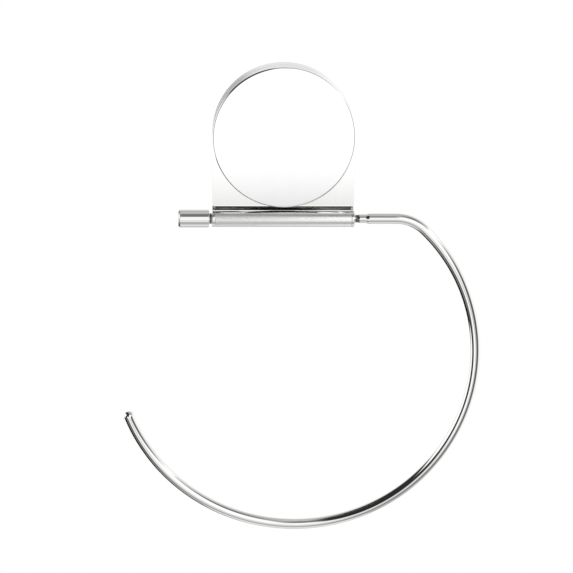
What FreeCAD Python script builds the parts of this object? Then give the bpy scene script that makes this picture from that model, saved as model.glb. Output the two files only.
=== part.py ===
import FreeCAD
import Part
import math
import os

# Wall-mounted towel ring: a round rose holds a sheet leaf, the leaf's lower edge is rolled into a
# hinge barrel, and a rod bent to a three-quarter ring turns in that barrel on its thinner end.
# Millimetres. The origin is on the wall, on the axis of the round rose.
# +X is to the right seen from the front, +Y goes into the wall, +Z is up.

# Rose: a base against the wall, the sheet leaf, and a cover in front, all of one diameter
disc_diameter = 68.0
base_depth = 7.0
base_rim = 3.0
base_web = 2.0
base_edge = 0.6
cover_depth = 6.8
cover_sheet = 0.8
cover_edge = 0.9

# Leaf and the barrel that is rolled from it
leaf_sheet = 1.2
barrel_diameter = 8.0
barrel_drop = 39.8
barrel_leaf_gap = 1.0
roll_closing_gap = 0.4
flange_side_gap = 0.05

# Bushes in the two ends of the barrel
bush_flange = 1.3
bush_length = 9.0

# Ring: a rod, its thinner hinge end, the bend beside the barrel and the large arc
rod_diameter = 5.0
pin_diameter = 4.2
pin_clearance = 0.05
pin_reach = 5.6
pin_groove_start = 0.4
pin_groove_width = 2.2
pin_groove_depth = 0.3
shoulder_length = 1.7
straight_length = 12.9
bend_radius = 20.0
ring_radius = 87.3
ring_centre_drop = 107.8
ring_end_angle = 201.0

# Knob on the hinge end
knob_diameter = 8.5
knob_length = 14.7
knob_bore_depth = 11.0
knob_bore_play = 0.5
knob_chamfer = 0.8
knob_neck_diameter = 5.5
knob_neck_length = 1.5
knob_groove_width = 1.2
knob_groove_depth = 0.3
knob_end_gap = 0.1

# Stud and nut that hold the cover, the leaf and the base together
stud_diameter = 5.0
stud_head_diameter = 14.0
stud_head = 1.0
stud_fillet = 0.3
stud_overrun = 0.5
nut_width = 8.0
nut_height = 2.7
nut_chamfer = 0.4
washer_diameter = 10.0
washer_height = 1.0
washer_hole_gap = 0.15

# Two small screws that fix the leaf to the base
leaf_screw_diameter = 3.0
leaf_screw_head_diameter = 5.6
leaf_screw_head = 1.9
leaf_screw_spacing = 36.0

# Bracket on the wall, which the base hangs on, and the grub screw that locks it
bracket_sheet = 1.5
bracket_rim_gap = 0.8
bracket_window = 20.0
lip_width = 18.0
lip_seat_gap = 0.15
lip_bend = 2.0
wall_hole_diameter = 5.0
wall_hole_spacing = 40.0
grub_diameter = 4.0
grub_tip_diameter = 2.4
grub_tip = 0.8
grub_from_wall = 3.2
grub_recess = 0.3
grub_socket_width = 2.0
grub_socket_depth = 2.0

# Small clearance between pieces that are seated in each other, and the broken edges of small pieces
seat_gap = 0.02
edge_break = 0.2

# How far a cutting tool runs out past the face that it cuts
run_out = 1.0

# Places that follow from the sizes above
disc_radius = disc_diameter / 2
rim_inside = disc_radius - base_rim
bracket_radius = rim_inside - bracket_rim_gap
lip_top = math.sqrt(rim_inside ** 2 - (lip_width / 2) ** 2) - lip_seat_gap
barrel_radius = barrel_diameter / 2
rod_radius = rod_diameter / 2
pin_radius = pin_diameter / 2
leaf_back_y = -base_depth
leaf_front_y = leaf_back_y - leaf_sheet
cover_front_y = leaf_front_y - cover_depth
web_back_y = leaf_back_y + base_web
axis_y = leaf_front_y - barrel_leaf_gap - barrel_radius
axis_z = -barrel_drop
barrel_half = disc_radius - bush_flange - flange_side_gap
shoulder_x = disc_radius + pin_reach
rod_start_x = shoulder_x + shoulder_length
bend_start_x = rod_start_x + straight_length


def point(x, y, z):
    return FreeCAD.Vector(x, y, z)


def rounded_wire(corners, place):
    """Closed wire through corners (u, v, radius); a radius above 0 rounds that corner."""
    edges = []
    ends = []
    count = len(corners)
    for i in range(count):
        u, v, radius = corners[i]
        here = FreeCAD.Vector(u, v, 0)
        before = FreeCAD.Vector(corners[i - 1][0], corners[i - 1][1], 0)
        after = FreeCAD.Vector(corners[(i + 1) % count][0], corners[(i + 1) % count][1], 0)
        if radius <= 0:
            ends.append((here, here, here))
            continue
        to_before = (before - here).normalize()
        to_after = (after - here).normalize()
        half = to_before.getAngle(to_after) / 2
        reach = radius / math.tan(half)
        inward = (to_before + to_after).normalize()
        middle = here + inward * (radius / math.sin(half) - radius)
        ends.append((here + to_before * reach, middle, here + to_after * reach))
    for i in range(count):
        start, middle, end = ends[i]
        following = ends[(i + 1) % count][0]
        if (end - start).Length > 1e-9:
            edges.append(Part.Arc(place(start), place(middle), place(end)).toShape())
        if (following - end).Length > 1e-9:
            edges.append(Part.makeLine(place(end), place(following)))
    return Part.Wire(edges)


def turned_on_y(corners):
    """Solid turned about the rose's axis; corners are (y, radius, rounding)."""
    face = Part.Face(rounded_wire(corners, lambda p: point(p.y, p.x, 0)))
    return face.revolve(point(0, 0, 0), point(0, 1, 0), 360)


def turned_on_hinge(corners):
    """Solid turned about the hinge axis; corners are (x, radius, rounding)."""
    face = Part.Face(rounded_wire(corners, lambda p: point(p.x, axis_y, axis_z + p.y)))
    return face.revolve(point(0, axis_y, axis_z), point(1, 0, 0), 360)


def cylinder_y(diameter, y_from, y_to, x=0.0, z=0.0):
    return Part.makeCylinder(diameter / 2, y_to - y_from, point(x, y_from, z), point(0, 1, 0))


# A shallow round groove about the hinge axis; what comes back is the ring that a shape loses there
def groove_on_hinge(middle_x, radius, width, depth):
    tool_radius = (width * width / 4 + depth * depth) / (2 * depth)
    return Part.makeTorus(
        radius - depth + tool_radius,
        tool_radius,
        point(middle_x, axis_y, axis_z),
        point(1, 0, 0),
    )


def save(shape, node):
    shape.exportStep("parts/" + node + ".step")
    print(node, "volume %.1f" % shape.Volume, "solids", len(shape.Solids), "valid", shape.isValid())


# Cover: a drawn cup with a flat polished face, open towards the leaf
def front_cover():
    inner = disc_radius - cover_sheet
    back_of_face = cover_front_y + cover_sheet
    return turned_on_y([
        (cover_front_y, 0, 0),
        (cover_front_y, disc_radius, cover_edge),
        (leaf_front_y, disc_radius, 0),
        (leaf_front_y, inner, 0),
        (back_of_face, inner, cover_edge - cover_sheet / 2),
        (back_of_face, 0, 0),
    ])


# Stud welded to the middle of the cover's inner face
def cover_stud():
    head_front_y = cover_front_y + cover_sheet
    stud_end_y = web_back_y + washer_height + nut_height + stud_overrun
    return turned_on_y([
        (head_front_y, 0, 0),
        (head_front_y, stud_head_diameter / 2, edge_break),
        (head_front_y + stud_head, stud_head_diameter / 2, edge_break),
        (head_front_y + stud_head, stud_diameter / 2, stud_fillet),
        (stud_end_y, stud_diameter / 2, edge_break),
        (stud_end_y, 0, 0),
    ])


def stud_washer():
    disc = cylinder_y(washer_diameter, web_back_y, web_back_y + washer_height)
    hole = stud_diameter + 2 * washer_hole_gap
    return disc.cut(cylinder_y(hole, web_back_y - run_out, web_back_y + washer_height + run_out))


def stud_nut():
    nut_front_y = web_back_y + washer_height
    corner = nut_width / 2 / math.cos(math.pi / 6)
    ring = []
    for i in range(7):
        angle = math.radians(60 * i)
        ring.append(point(corner * math.cos(angle), nut_front_y, corner * math.sin(angle)))
    prism = Part.Face(Part.makePolygon(ring)).extrude(point(0, nut_height, 0))
    # the chamfered corners of a hexagon nut come from a turned blank
    blank = turned_on_y([
        (nut_front_y, 0, 0),
        (nut_front_y, corner, 0),
        (nut_front_y + nut_height - nut_chamfer, corner, 0),
        (nut_front_y + nut_height, nut_width / 2, 0),
        (nut_front_y + nut_height, 0, 0),
    ])
    nut_back_y = nut_front_y + nut_height
    bore = cylinder_y(stud_diameter + 2 * seat_gap, nut_front_y - run_out, nut_back_y + run_out)
    return prism.common(blank).cut(bore)


def leaf_screw_places():
    return [-leaf_screw_spacing / 2, leaf_screw_spacing / 2]


# Pan-head screws: heads on the leaf inside the cover, shanks in the base's web
def leaf_screws():
    screws = []
    for x in leaf_screw_places():
        head = cylinder_y(leaf_screw_head_diameter, leaf_front_y - leaf_screw_head, leaf_front_y, x)
        rim = [e for e in head.Edges if e.BoundBox.YMax < leaf_front_y - leaf_screw_head / 2]
        head = head.makeFillet(leaf_screw_head / 2, rim)
        shank = cylinder_y(leaf_screw_diameter, leaf_front_y, web_back_y, x)
        screws.append(head.fuse(shank).removeSplitter())
    return Part.makeCompound(screws)


def drilled(plate, front_y, back_y):
    """The holes for the stud and the two small screws, which go through the leaf and the base alike."""
    plate = plate.cut(cylinder_y(stud_diameter + 2 * seat_gap, front_y - run_out, back_y + run_out))
    for x in leaf_screw_places():
        hole = cylinder_y(leaf_screw_diameter + 2 * seat_gap, front_y - run_out, back_y + run_out, x)
        plate = plate.cut(hole)
    return plate


# Base: a round cup open to the wall, with a web that the leaf is screwed to
def base_cup():
    cup = turned_on_y([
        (leaf_back_y, 0, 0),
        (leaf_back_y, disc_radius, base_edge),
        (0, disc_radius, base_edge),
        (0, rim_inside, 0),
        (web_back_y, rim_inside, base_edge),
        (web_back_y, 0, 0),
    ])
    cup = drilled(cup, leaf_back_y, web_back_y)
    grub_hole = Part.makeCylinder(
        grub_diameter / 2 + seat_gap,
        base_rim + 2 * run_out,
        point(0, -grub_from_wall, -disc_radius - run_out),
        point(0, 0, 1),
    )
    return cup.cut(grub_hole)


# Leaf: round above, square below, its lower edge carried forward and rolled into the barrel
def hinge_leaf():
    # the sheet's back face leaves the flat leaf on an arc that meets the barrel underneath
    start_z = axis_z + barrel_leaf_gap + leaf_sheet
    outer = barrel_radius + barrel_leaf_gap + leaf_sheet
    bore_radius = barrel_radius - leaf_sheet
    rise = start_z - axis_z
    reach = outer - leaf_sheet - roll_closing_gap
    lift = (barrel_radius ** 2 + rise ** 2 - reach ** 2) / (2 * barrel_radius * rise)
    end_angle = math.asin(lift) - 2 * math.pi

    def on_arc(centre_z, radius, angle):
        return point(-barrel_half, axis_y + radius * math.cos(angle), centre_z + radius * math.sin(angle))

    def arc(centre_z, radius, first, last):
        middle = (first + last) / 2
        return Part.Arc(
            on_arc(centre_z, radius, first),
            on_arc(centre_z, radius, middle),
            on_arc(centre_z, radius, last),
        ).toShape()

    under = -math.pi / 2
    section = Part.Wire([
        arc(start_z, outer, 0, under),
        arc(axis_z, barrel_radius, under, end_angle),
        Part.makeLine(on_arc(axis_z, barrel_radius, end_angle), on_arc(axis_z, bore_radius, end_angle)),
        arc(axis_z, bore_radius, end_angle, under),
        arc(start_z, outer - leaf_sheet, under, 0),
        Part.makeLine(on_arc(start_z, outer - leaf_sheet, 0), on_arc(start_z, outer, 0)),
    ])
    roll = Part.Face(section).extrude(point(2 * barrel_half, 0, 0))

    left = point(-disc_radius, leaf_back_y, 0)
    right = point(disc_radius, leaf_back_y, 0)
    lower_left = point(-disc_radius, leaf_back_y, start_z)
    lower_right = point(disc_radius, leaf_back_y, start_z)
    outline = Part.Wire([
        Part.Arc(left, point(0, leaf_back_y, disc_radius), right).toShape(),
        Part.makeLine(right, lower_right),
        Part.makeLine(lower_right, lower_left),
        Part.makeLine(lower_left, left),
    ])
    flat = Part.Face(outline).extrude(point(0, -leaf_sheet, 0))
    leaf = flat.fuse(roll).removeSplitter()
    return drilled(leaf, leaf_front_y, leaf_back_y)


# Flanged bush: side is -1 for the left end of the barrel and 1 for the right end
def bush(side):
    sleeve = barrel_radius - leaf_sheet - seat_gap
    bore = pin_radius + pin_clearance
    outside = side * disc_radius
    flange_inside = side * (disc_radius - bush_flange)
    inside = side * (disc_radius - bush_flange - bush_length)
    return turned_on_hinge([
        (outside, bore, 0),
        (outside, barrel_radius, edge_break),
        (flange_inside, barrel_radius, edge_break),
        (flange_inside, sleeve, 0),
        (inside, sleeve, edge_break),
        (inside, bore, 0),
    ])


# Rod: hinge end with a shallow groove beside the right bush, shoulder, straight stretch, bend and
# large arc with a domed end
def ring_rod():
    knob_face_x = -disc_radius - knob_end_gap
    pin_end_x = knob_face_x - knob_bore_depth + knob_bore_play
    straight = turned_on_hinge([
        (pin_end_x, 0, 0),
        (pin_end_x, pin_radius, edge_break),
        (shoulder_x, pin_radius, 0),
        (rod_start_x, rod_radius, 0),
        (bend_start_x, rod_radius, 0),
        (bend_start_x, 0, 0),
    ])
    groove_x = disc_radius + pin_groove_start + pin_groove_width / 2
    straight = straight.cut(groove_on_hinge(groove_x, pin_radius, pin_groove_width, pin_groove_depth))
    # the bend is tangent to the straight rod and to the large arc inside it
    bend_z = axis_z - bend_radius
    centre_z = -ring_centre_drop
    across = math.sqrt((ring_radius - bend_radius) ** 2 - (bend_z - centre_z) ** 2)
    centre_x = bend_start_x - across
    bend_turn = math.degrees(math.atan2(across, bend_z - centre_z))
    start = Part.Circle(point(bend_start_x, axis_y, axis_z), point(1, 0, 0), rod_radius).toShape()
    bend_face = Part.Face(Part.Wire(start))
    bend = bend_face.revolve(point(bend_start_x, axis_y, bend_z), point(0, 1, 0), bend_turn)
    arc_face = bend_face.copy()
    arc_face.rotate(point(bend_start_x, axis_y, bend_z), point(0, 1, 0), bend_turn)
    # angles are measured from +X towards +Z about the ring's centre, and the arc runs downwards
    sweep = 90 - bend_turn + (360 - ring_end_angle)
    centre = point(centre_x, axis_y, centre_z)
    arc = arc_face.revolve(centre, point(0, 1, 0), sweep)
    end = math.radians(ring_end_angle)
    tip = point(centre_x + ring_radius * math.cos(end), axis_y, centre_z + ring_radius * math.sin(end))
    ahead = point(math.sin(end), 0, -math.cos(end))
    dome = Part.makeSphere(rod_radius, tip, ahead, 0, 90, 360)
    return straight.fuse([bend, arc, dome]).removeSplitter()


# Knob: turned, with a neck that runs against the left bush and a blind bore for the hinge end
def end_knob():
    neck_face = -disc_radius - knob_end_gap
    body_right = neck_face - knob_neck_length
    body_left = body_right - knob_length
    bore_end = neck_face - knob_bore_depth
    bore = pin_radius + seat_gap
    knob = turned_on_hinge([
        (neck_face, bore, 0),
        (neck_face, knob_neck_diameter / 2, edge_break),
        (body_right, knob_neck_diameter / 2, 0),
        (body_right, knob_diameter / 2, edge_break),
        (body_left + knob_chamfer, knob_diameter / 2, 0),
        (body_left, knob_diameter / 2 - knob_chamfer, 0),
        (body_left, 0, 0),
        (bore_end, 0, 0),
        (bore_end, bore, 0),
    ])
    groove_x = neck_face - knob_neck_length / 2
    return knob.cut(groove_on_hinge(
        groove_x,
        knob_neck_diameter / 2,
        knob_groove_width,
        knob_groove_depth,
    ))


# Bracket: a stamped round plate with two lips bent forward, one above and one below
def wall_bracket():
    bend_z = lip_top - lip_bend
    lip_front_y = lip_seat_gap - (base_depth - base_web)
    plate = cylinder_y(2 * bracket_radius, -bracket_sheet, 0)
    band = Part.makeBox(
        2 * bracket_radius,
        bracket_sheet,
        2 * bend_z,
        point(-bracket_radius, -bracket_sheet, -bend_z),
    )
    lips = []
    for up in (-1, 1):
        section = rounded_wire([
            (0, bend_z - run_out, 0),
            (0, lip_top, lip_bend),
            (lip_front_y, lip_top, 0),
            (lip_front_y, lip_top - bracket_sheet, 0),
            (-bracket_sheet, lip_top - bracket_sheet, lip_bend - bracket_sheet),
            (-bracket_sheet, bend_z - run_out, 0),
        ], lambda p: point(-lip_width / 2, p.x, up * p.y))
        lips.append(Part.Face(section).extrude(point(lip_width, 0, 0)))
    bracket = plate.common(band).fuse(lips).removeSplitter()
    bracket = bracket.cut(cylinder_y(bracket_window, -bracket_sheet - run_out, run_out))
    for x in (-wall_hole_spacing / 2, wall_hole_spacing / 2):
        bracket = bracket.cut(cylinder_y(wall_hole_diameter, -bracket_sheet - run_out, run_out, x))
    return bracket


# Grub screw: up through the base's rim from below, its tip on the bracket's lower lip
def grub_screw():
    tip_z = -lip_top - seat_gap
    low_z = -disc_radius + grub_recess
    outline = rounded_wire([
        (low_z, 0, 0),
        (low_z, grub_diameter / 2, edge_break),
        (tip_z - grub_tip, grub_diameter / 2, 0),
        (tip_z, grub_tip_diameter / 2, 0),
        (tip_z, 0, 0),
    ], lambda p: point(p.y, -grub_from_wall, p.x))
    body = Part.Face(outline).revolve(point(0, -grub_from_wall, 0), point(0, 0, 1), 360)
    corner = grub_socket_width / 2 / math.cos(math.pi / 6)
    ring = []
    for i in range(7):
        angle = math.radians(60 * i)
        ring.append(point(corner * math.cos(angle), corner * math.sin(angle) - grub_from_wall, low_z))
    socket = Part.Face(Part.makePolygon(ring)).extrude(point(0, 0, grub_socket_depth))
    return body.cut(socket)


os.makedirs("parts", exist_ok=True)
save(base_cup(), "base_cup")
save(wall_bracket(), "wall_bracket")
save(grub_screw(), "grub_screw")
save(hinge_leaf(), "hinge_leaf")
save(leaf_screws(), "leaf_screws")
save(front_cover(), "front_cover")
save(cover_stud(), "cover_stud")
save(stud_washer(), "stud_washer")
save(stud_nut(), "stud_nut")
save(bush(-1), "bush_left")
save(bush(1), "bush_right")
save(ring_rod(), "ring_rod")
save(end_knob(), "end_knob")
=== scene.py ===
import math
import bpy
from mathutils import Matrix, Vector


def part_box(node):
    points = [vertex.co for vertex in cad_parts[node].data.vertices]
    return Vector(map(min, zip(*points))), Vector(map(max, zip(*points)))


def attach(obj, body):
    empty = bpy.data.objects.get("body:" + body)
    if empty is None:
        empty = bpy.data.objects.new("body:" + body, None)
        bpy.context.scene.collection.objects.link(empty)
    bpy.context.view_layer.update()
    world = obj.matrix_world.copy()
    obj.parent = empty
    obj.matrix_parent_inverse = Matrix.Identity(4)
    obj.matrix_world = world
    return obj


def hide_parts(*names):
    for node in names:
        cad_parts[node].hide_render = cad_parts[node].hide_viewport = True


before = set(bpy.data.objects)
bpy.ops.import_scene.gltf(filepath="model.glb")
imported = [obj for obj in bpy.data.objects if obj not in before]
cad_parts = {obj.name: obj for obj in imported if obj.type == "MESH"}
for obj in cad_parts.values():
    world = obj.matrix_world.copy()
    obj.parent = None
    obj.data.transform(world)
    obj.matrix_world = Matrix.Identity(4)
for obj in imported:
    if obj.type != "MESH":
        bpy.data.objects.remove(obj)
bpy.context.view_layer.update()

from types import SimpleNamespace

import bmesh
import bpy
from bpy.props import FloatProperty, FloatVectorProperty, IntProperty, PointerProperty
from mathutils import Matrix, Vector

bl_info = {
    "name": "Towel ring",
    "version": (1, 0, 0),
    "blender": (4, 5, 0),
    "location": "View3D > Sidebar > Towel Ring",
    "description": "Builds a polished wall-mounted towel ring with a swinging ring",
    "category": "Object",
}

# Meshes are worked out in millimetres; Blender's own settings, sockets and coordinates are in metres
MM = 0.001


def solid_box(node):
    """Low and high corner of a solid's box, in millimetres."""
    return [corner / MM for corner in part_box(node)]


COVER_LOW, COVER_HIGH = solid_box("front_cover")
LEAF_HIGH = solid_box("hinge_leaf")[1]
BASE_LOW, BASE_HIGH = solid_box("base_cup")
BUSH_LOW, BUSH_HIGH = solid_box("bush_right")
STUD_LOW, STUD_HIGH = solid_box("cover_stud")
SCREWS_LOW, SCREWS_HIGH = solid_box("leaf_screws")
GRUB_LOW, GRUB_HIGH = solid_box("grub_screw")
KNOB_LOW, KNOB_HIGH = solid_box("end_knob")
ROD_LOW, ROD_HIGH = solid_box("ring_rod")
KNOB_RADIUS = (KNOB_HIGH.y - KNOB_LOW.y) / 2
ROD_RADIUS = (ROD_HIGH.y - ROD_LOW.y) / 2
AXIS_Y = (ROD_HIGH.y + ROD_LOW.y) / 2
AXIS_Z = ROD_HIGH.z - ROD_RADIUS


def length(name, description, default):
    """A length property; its default is given in millimetres."""
    return FloatProperty(
        name=name, description=description, default=default * MM, min=0.0, precision=5, unit="LENGTH")


def tint(name, description, default):
    """A colour property."""
    return FloatVectorProperty(
        name=name, description=description, default=default, size=3, min=0.0, max=1.0, subtype="COLOR")


# Sizes and colours that a user would change


class CoverSettings(bpy.types.PropertyGroup):
    """The round cover with the mirror face."""
    radius: length("Radius", "Half the cover's diameter", COVER_HIGH.x)
    edge: length("Edge rounding", "Radius of the cover's front edge", 0.7)
    sheet: length("Sheet", "Thickness of the cover's sheet", 0.8)


class LeafSettings(bpy.types.PropertyGroup):
    """The leaf behind the cover and the barrel rolled from its lower edge."""
    sheet: length("Sheet", "Thickness of the leaf's sheet", 1.2)
    barrel_radius: length("Barrel radius", "Outer radius of the rolled barrel", 4.0)
    barrel_gap: length("Barrel gap", "Space between the leaf's front and the barrel", 1.0)
    closing_gap: length("Closing gap", "Space at the rolled sheet's free edge", 0.4)
    barrel_half: length("Barrel half width", "Half the width of the rolled part", 32.65)
    edge: length("Edge break", "Size of the broken edges", 0.25)
    flange: length("Bush flange", "Thickness of the flanges on the bushes", 1.3)
    press_gap: length("Bush gap", "Gap between a bush and the barrel's bore", 0.02)


class BaseSettings(bpy.types.PropertyGroup):
    """The base between the leaf and the wall."""
    rim: length("Rim", "Thickness of the base's round wall", 3.0)
    web: length("Web", "Thickness of the base's front", 2.0)
    edge: length("Edge rounding", "Radius of the base's edges", 0.6)


class RingSettings(bpy.types.PropertyGroup):
    """The bar that is bent to a three-quarter ring; places are measured from the rose's axis."""
    rod_radius: length("Rod radius", "Half the bar's diameter", ROD_RADIUS)
    pin_radius: length("Pin radius", "Half the diameter of the thinner hinge end", 2.1)
    pin_play: length("Pin play", "Gap between the pin and the bushes", 0.05)
    pin_end: length("Pin end", "From the axis left to the end of the pin", 44.6)
    pin_chamfer: length("Pin chamfer", "Size of the chamfer on the pin's end", 0.2)
    groove_start: length("Groove start", "From the right bush to the groove in the hinge end", 0.4)
    groove_width: length("Groove width", "Width of the groove in the hinge end", 2.2)
    groove_depth: length("Groove depth", "Depth of the groove in the hinge end", 0.3)
    shoulder: length("Shoulder", "From the axis right to where the pin starts to thicken", 39.6)
    shoulder_length: length("Shoulder length", "Length over which the pin thickens to the bar", 1.7)
    bend_start: length("Bend start", "From the axis right to the start of the bend", 54.2)
    bend_radius: length("Bend radius", "Radius of the bend beside the barrel", 20.0)
    ring_radius: length("Ring radius", "Radius of the large arc's centreline", 87.3)
    ring_drop: length("Ring drop", "From the axis down to the middle of the large arc", 107.8)
    ring_end: FloatProperty(
        name="Ring end", description="Where the large arc ends, turned from the right over the top",
        default=math.radians(201.0), subtype="ANGLE")
    sides: IntProperty(name="Sides", description="Faces round the bar", default=64, min=12, max=128)


class KnobSettings(bpy.types.PropertyGroup):
    """The knob on the hinge end."""
    neck_length: length("Neck", "Length of the neck beside the left bush", 1.5)
    neck_radius: length("Neck radius", "Half the neck's diameter", 2.75)
    groove_width: length("Groove width", "Width of the groove in the neck", 1.2)
    groove_depth: length("Groove depth", "Depth of the groove in the neck", 0.3)
    bore_depth: length("Bore", "Depth of the bore for the pin", 11.0)
    bore_gap: length("Bore gap", "Gap between the pin and the bore", 0.02)
    chamfer: length("Chamfer", "Size of the chamfer on the outer end", 0.8)


class ScrewSettings(bpy.types.PropertyGroup):
    """The stud and the screws."""
    stud: length("Stud", "Diameter of the stud's thread", 5.0)
    stud_pitch: length("Stud pitch", "Pitch of the stud's thread", 0.8)
    stud_head: length("Stud head", "Diameter of the head welded into the cover", 14.0)
    stud_head_height: length("Stud head height", "Thickness of the stud's head", 1.0)
    stud_neck: length("Stud neck", "Length of the plain neck behind the head", 4.2)
    screw: length("Screws", "Diameter of the leaf screws' threads", 3.0)
    screw_pitch: length("Screw pitch", "Pitch of the leaf screws' threads", 0.5)
    screw_head: length("Screw heads", "Diameter of the leaf screws' heads", 5.6)
    screw_crown: length("Screw crown", "Rounding of the leaf screws' heads", 0.9)
    screw_spacing: length("Screw spacing", "Distance between the two leaf screws", 36.0)
    grub: length("Grub screw", "Diameter of the grub screw's thread", 4.0)
    grub_pitch: length("Grub pitch", "Pitch of the grub screw's thread", 0.7)
    grub_tip: length("Grub tip", "Diameter of the grub screw's plain tip", 3.0)
    grub_tip_length: length("Grub tip length", "Length of the grub screw's plain tip", 1.0)
    socket: length("Sockets", "Width of the hexagonal sockets across their corners", 2.3)
    screw_socket_depth: length("Screw socket depth", "Depth of the sockets in the leaf screws", 1.1)
    grub_socket_depth: length("Grub socket depth", "Depth of the socket in the grub screw", 2.0)
    hole_play: length("Hole play", "How much wider a hole is than its screw", 0.04)


class MetalSettings(bpy.types.PropertyGroup):
    """Colours of the metals."""
    mirror: tint("Mirror face", "Colour of the cover's polished metal", (0.93, 0.93, 0.93))
    sheet: tint("Leaf", "Colour of the leaf's polished metal", (0.96, 0.96, 0.94))
    bar: tint("Bar", "Colour of the ring's polished metal", (0.84, 0.84, 0.83))
    zinc: tint("Zinc", "Colour of the plated steel at the wall", (0.62, 0.63, 0.64))
    steel: tint("Screws", "Colour of the screws", (0.56, 0.56, 0.57))


class StudioSettings(bpy.types.PropertyGroup):
    """The studio that the object is seen in."""
    floor_drop: length("Floor drop", "Depth of the floor below the rose's axis", 620.0)
    floor_radius: length("Floor radius", "Half the width of the round floor", 200.0)
    floor_colour: tint("Floor", "Colour of the plain floor", (0.9, 0.9, 0.89))
    floor_white: FloatProperty(
        name="Floor whiteness", description="How much of the floor's middle is seen as white background",
        default=0.6, min=0.0, max=1.0, subtype="FACTOR")
    tent_radius: length("Tent radius", "Half the width of the light tent", 3000.0)
    world_strength: FloatProperty(
        name="World strength", description="Brightness of the soft light from all round",
        default=1.0, min=0.0)


PREFIX = "towel_ring_"


def in_mm(name):
    """A group's settings, with the lengths in millimetres."""
    group = getattr(bpy.context.scene, PREFIX + name)
    found = SimpleNamespace()
    for field in group.__annotations__:
        value = getattr(group, field)
        is_length = group.bl_rna.properties[field].unit == "LENGTH"
        setattr(found, field, value / MM if is_length else value)
    return found


# Node trees from expressions

MIX_FIRST, MIX_SECOND, MIX_RESULT = 6, 7, 2  # the Mix node's colour sockets
WHITE = (1.0, 1.0, 1.0, 1.0)


class Value:
    """A number socket in a node tree; sums and products of it add Math nodes."""

    def __init__(self, tree, socket):
        self.tree = tree
        self.socket = socket

    def math(self, operation, *others):
        return self.tree.math(operation, self, *others)

    def __add__(self, other):
        return self.math("ADD", other)

    __radd__ = __add__

    def __sub__(self, other):
        return self.math("SUBTRACT", other)

    def __rsub__(self, other):
        return self.tree.math("SUBTRACT", other, self)

    def __mul__(self, other):
        return self.math("MULTIPLY", other)

    __rmul__ = __mul__

    def __truediv__(self, other):
        return self.math("DIVIDE", other)

    def __rtruediv__(self, other):
        return self.tree.math("DIVIDE", other, self)

    def sin(self):
        return self.math("SINE")

    def cos(self):
        return self.math("COSINE")

    def at_least(self, other):
        return self.math("MAXIMUM", other)

    def at_most(self, other):
        return self.math("MINIMUM", other)

    def step(self, low, high):
        """0 below low, 1 above high, smooth in between; low may be the larger."""
        found = self.tree.node(
            "ShaderNodeMapRange", {"Value": self, "From Min": low, "From Max": high},
            interpolation_type="SMOOTHSTEP", clamp=True)
        return Value(self.tree, found.outputs["Result"])


class Tree:
    """Adds nodes to a tree by type, settings and sockets."""

    def __init__(self, tree):
        self.tree = tree

    def node(self, kind, sockets=None, **settings):
        made = self.tree.nodes.new(kind)
        for name, setting in settings.items():
            if name == "stops":
                self.stops(made.color_ramp, setting)
            else:
                setattr(made, name, setting)
        for name, given in (sockets or {}).items():
            self.feed(made.inputs[name], given)
        return made

    def stops(self, ramp, stops):
        while len(ramp.elements) < len(stops):
            ramp.elements.new(1.0)
        for element, (place, level) in zip(ramp.elements, stops):
            element.position = place
            element.color = (level, level, level, 1.0)

    def feed(self, socket, given):
        """Sets or links a socket; a node feeds it from its first output."""
        if isinstance(given, bpy.types.Node):
            given = given.outputs[0]
        if isinstance(given, Value):
            given = given.socket
        if isinstance(given, bpy.types.NodeSocket):
            self.tree.links.new(given, socket)
        else:
            socket.default_value = given

    def value(self, socket):
        return Value(self, socket)

    def math(self, operation, *values):
        made = self.node("ShaderNodeMath", dict(enumerate(values)), operation=operation)
        return Value(self, made.outputs[0])

    def vector(self, operation, *values):
        return self.node("ShaderNodeVectorMath", dict(enumerate(values)), operation=operation).outputs

    def separate(self, vector):
        made = self.node("ShaderNodeSeparateXYZ", {0: vector})
        return [Value(self, made.outputs[axis]) for axis in "XYZ"]

    def combine(self, x, y, z):
        return self.node("ShaderNodeCombineXYZ", {"X": x, "Y": y, "Z": z})

    def colour_mix(self, factor, first, second):
        sockets = {"Factor": factor, MIX_FIRST: first, MIX_SECOND: second}
        return self.node("ShaderNodeMix", sockets, data_type="RGBA").outputs[MIX_RESULT]

    def noise(self, vector, scale, detail):
        sockets = {"Vector": vector, "Scale": scale, "Detail": detail}
        return Value(self, self.node("ShaderNodeTexNoise", sockets).outputs[0])

    def surface(self, shader):
        self.node("ShaderNodeOutputMaterial", {"Surface": shader}, is_active_output=True)

    def seen(self):
        """1 for what the camera sees, also in a mirror or through glass, and 0 for what lights things."""
        path = self.node("ShaderNodeLightPath").outputs
        camera, glossy, through = [
            self.value(path[ray]) for ray in ("Is Camera Ray", "Is Glossy Ray", "Is Transmission Ray")]
        return camera.at_least(glossy.at_least(through))


def material_tree(name):
    material = bpy.data.materials.new(name)
    material.use_nodes = True
    material.node_tree.nodes.clear()
    return material, Tree(material.node_tree)


# Finishes of the metals

# Noise in the finish: scale per metre, and detail
CLOUDS = (160.0, 4.0)
POLISHING_MARKS = (2600.0, 5.0)
DARK_CLOUD, LIGHT_CLOUD = 0.99, 1.005  # shares of the metal's colour
MARK_HEIGHT = 0.02  # in millimetres

# Unpolished metal in the fold and the grooves: the share of its colour that it keeps, which is painted
# shade, and how much rougher it is
PAINTED_SHADE_TONE = 0.2
DULL_ROUGHNESS = 0.3

# Where a finish on the barrel, or the painted shade in its fold, begins and where it is full, as shares of
# the barrel's radius
BARREL_BEGINS, BARREL_FULL = 1.08, 1.01
SATIN_BEGINS, SATIN_FULL = 0.38, 0.82
FOLD_BACK_BEGINS, FOLD_BACK_FULL = -0.12, -0.26
FOLD_UP_BEGINS, FOLD_UP_FULL = -0.5, -0.25


def shade(colour, factor):
    """A colour made darker or lighter, for a colour socket."""
    return [min(1.0, channel * factor) for channel in colour] + [1.0]


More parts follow.
